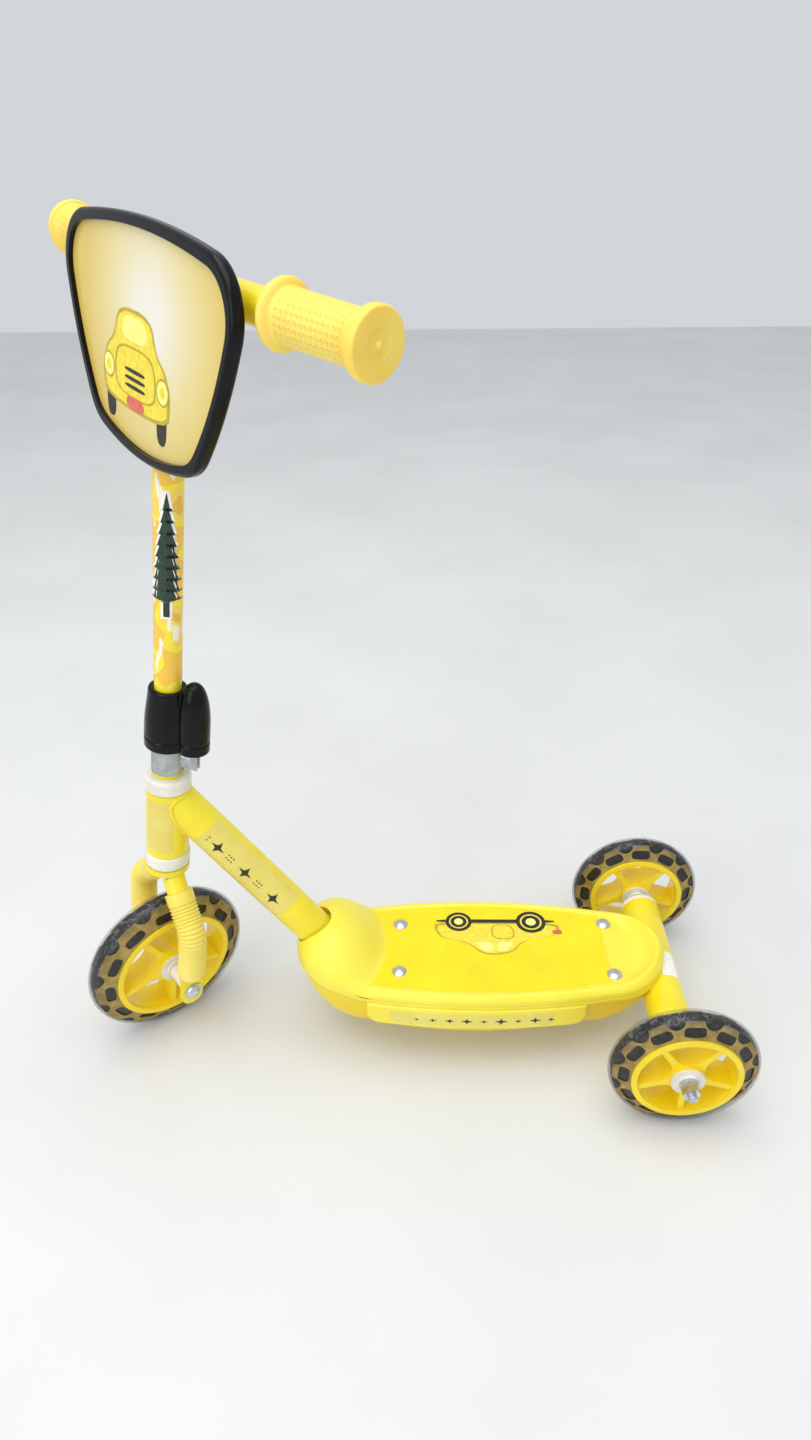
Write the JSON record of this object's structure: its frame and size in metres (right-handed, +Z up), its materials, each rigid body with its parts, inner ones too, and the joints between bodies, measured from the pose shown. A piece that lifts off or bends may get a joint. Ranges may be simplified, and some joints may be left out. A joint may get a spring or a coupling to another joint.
{
  "type": "kick scooter",
  "caption": "Child's kick scooter with one steered front wheel, a fixed rear axle, a plastic deck, a height-adjustable handlebar and a front plate.",
  "frame": {"origin": "on the ground, on the frame's middle plane, halfway between the rear axle and the front axle", "axes": "+X forward, +Y the rider's left, +Z up; the steering rests turned 40 degrees to the left"},
  "size_m": [0.5788, 0.3079, 0.6841],
  "materials": {
    "yellow_paint": "gloss",
    "printed_stem": "satin, printed film",
    "deck_plastic": "semi-gloss moulded",
    "grip_film": "fine ribbed",
    "sleeve_plastic": "soft satin",
    "grip_rubber": "soft satin",
    "white_plastic": "satin",
    "zinc_steel": "zinc plated",
    "galvanised_steel": "dull galvanised",
    "black_plastic": "gloss",
    "printed_card": "printed card under film",
    "wheel_plastic": "semi-gloss moulded",
    "ring_plastic": "satin",
    "clear_tyre": "smoky clear"
  },
  "bodies": {
    "frame": {"head_tube": "yellow_paint", "lower_head_cup": "white_plastic", "upper_head_cup": "white_plastic", "down_tube": "yellow_paint", "backbone_tube": "yellow_paint", "deck_brackets": "yellow_paint", "rear_cross_tube": "yellow_paint", "rear_tube_caps": "white_plastic", "rear_spacers": "white_plastic", "rear_axle_washers": "zinc_steel", "rear_axle_nuts": "zinc_steel", "rear_axle": "zinc_steel", "deck_cover": "deck_plastic", "deck_tray": "deck_plastic", "deck_grip_film": "grip_film", "deck_bolts": "zinc_steel", "deck_nuts": "zinc_steel"},
    "fork": {"steerer_tube": "yellow_paint", "fork_crown": "yellow_paint", "fork_leg_left": "yellow_paint", "fork_leg_right": "yellow_paint", "fork_sleeve_left": "sleeve_plastic", "fork_sleeve_right": "sleeve_plastic", "clamp_collar": "galvanised_steel", "clamp_bolt": "zinc_steel", "clamp_nut": "zinc_steel", "clamp_cover": "black_plastic", "front_axle_bolt": "zinc_steel", "front_axle_nut": "zinc_steel", "front_axle_washers": "zinc_steel", "front_spacers": "white_plastic"},
    "handlebar": {"stem_tube": "printed_stem", "crossbar": "yellow_paint", "grip_left": "grip_rubber", "grip_right": "grip_rubber", "plate_rim": "black_plastic", "plate_card": "printed_card", "plate_clips": "black_plastic", "plate_screws": "zinc_steel"},
    "front_wheel": {"front_wheel_core": "wheel_plastic", "front_tyre_ring": "ring_plastic", "front_tyre": "clear_tyre", "front_wheel_bushes": "white_plastic"},
    "rear_left_wheel": {"rear_left_wheel_core": "wheel_plastic", "rear_left_tyre_ring": "ring_plastic", "rear_left_tyre": "clear_tyre", "rear_left_wheel_bushes": "white_plastic"},
    "rear_right_wheel": {"rear_right_wheel_core": "wheel_plastic", "rear_right_tyre_ring": "ring_plastic", "rear_right_tyre": "clear_tyre", "rear_right_wheel_bushes": "white_plastic"}
  },
  "joints": [
    {"name": "steering", "type": "hinge", "parent": "frame", "child": "fork", "pos_m": [0.2275, 0, 0.07473], "axis": [-0.1461, 0, 0.9893], "range_deg": [-130, 50]},
    {"name": "stem_height", "type": "slide", "parent": "fork", "child": "handlebar", "axis": [-0.1461, 0, 0.9893], "range_m": [0, 0.06]},
    {"name": "front_wheel_spin", "type": "hinge", "parent": "fork", "child": "front_wheel", "pos_m": [0.2275, 0, 0.07473], "axis": [-0.6359, 0.766, -0.0939], "continuous": true},
    {"name": "rear_left_wheel_spin", "type": "hinge", "parent": "frame", "child": "rear_left_wheel", "pos_m": [-0.2275, 0.1085, 0.0625], "axis": [0, 1, 0], "continuous": true},
    {"name": "rear_right_wheel_spin", "type": "hinge", "parent": "frame", "child": "rear_right_wheel", "pos_m": [-0.2275, -0.1085, 0.0625], "axis": [0, 1, 0], "continuous": true}
  ]
}
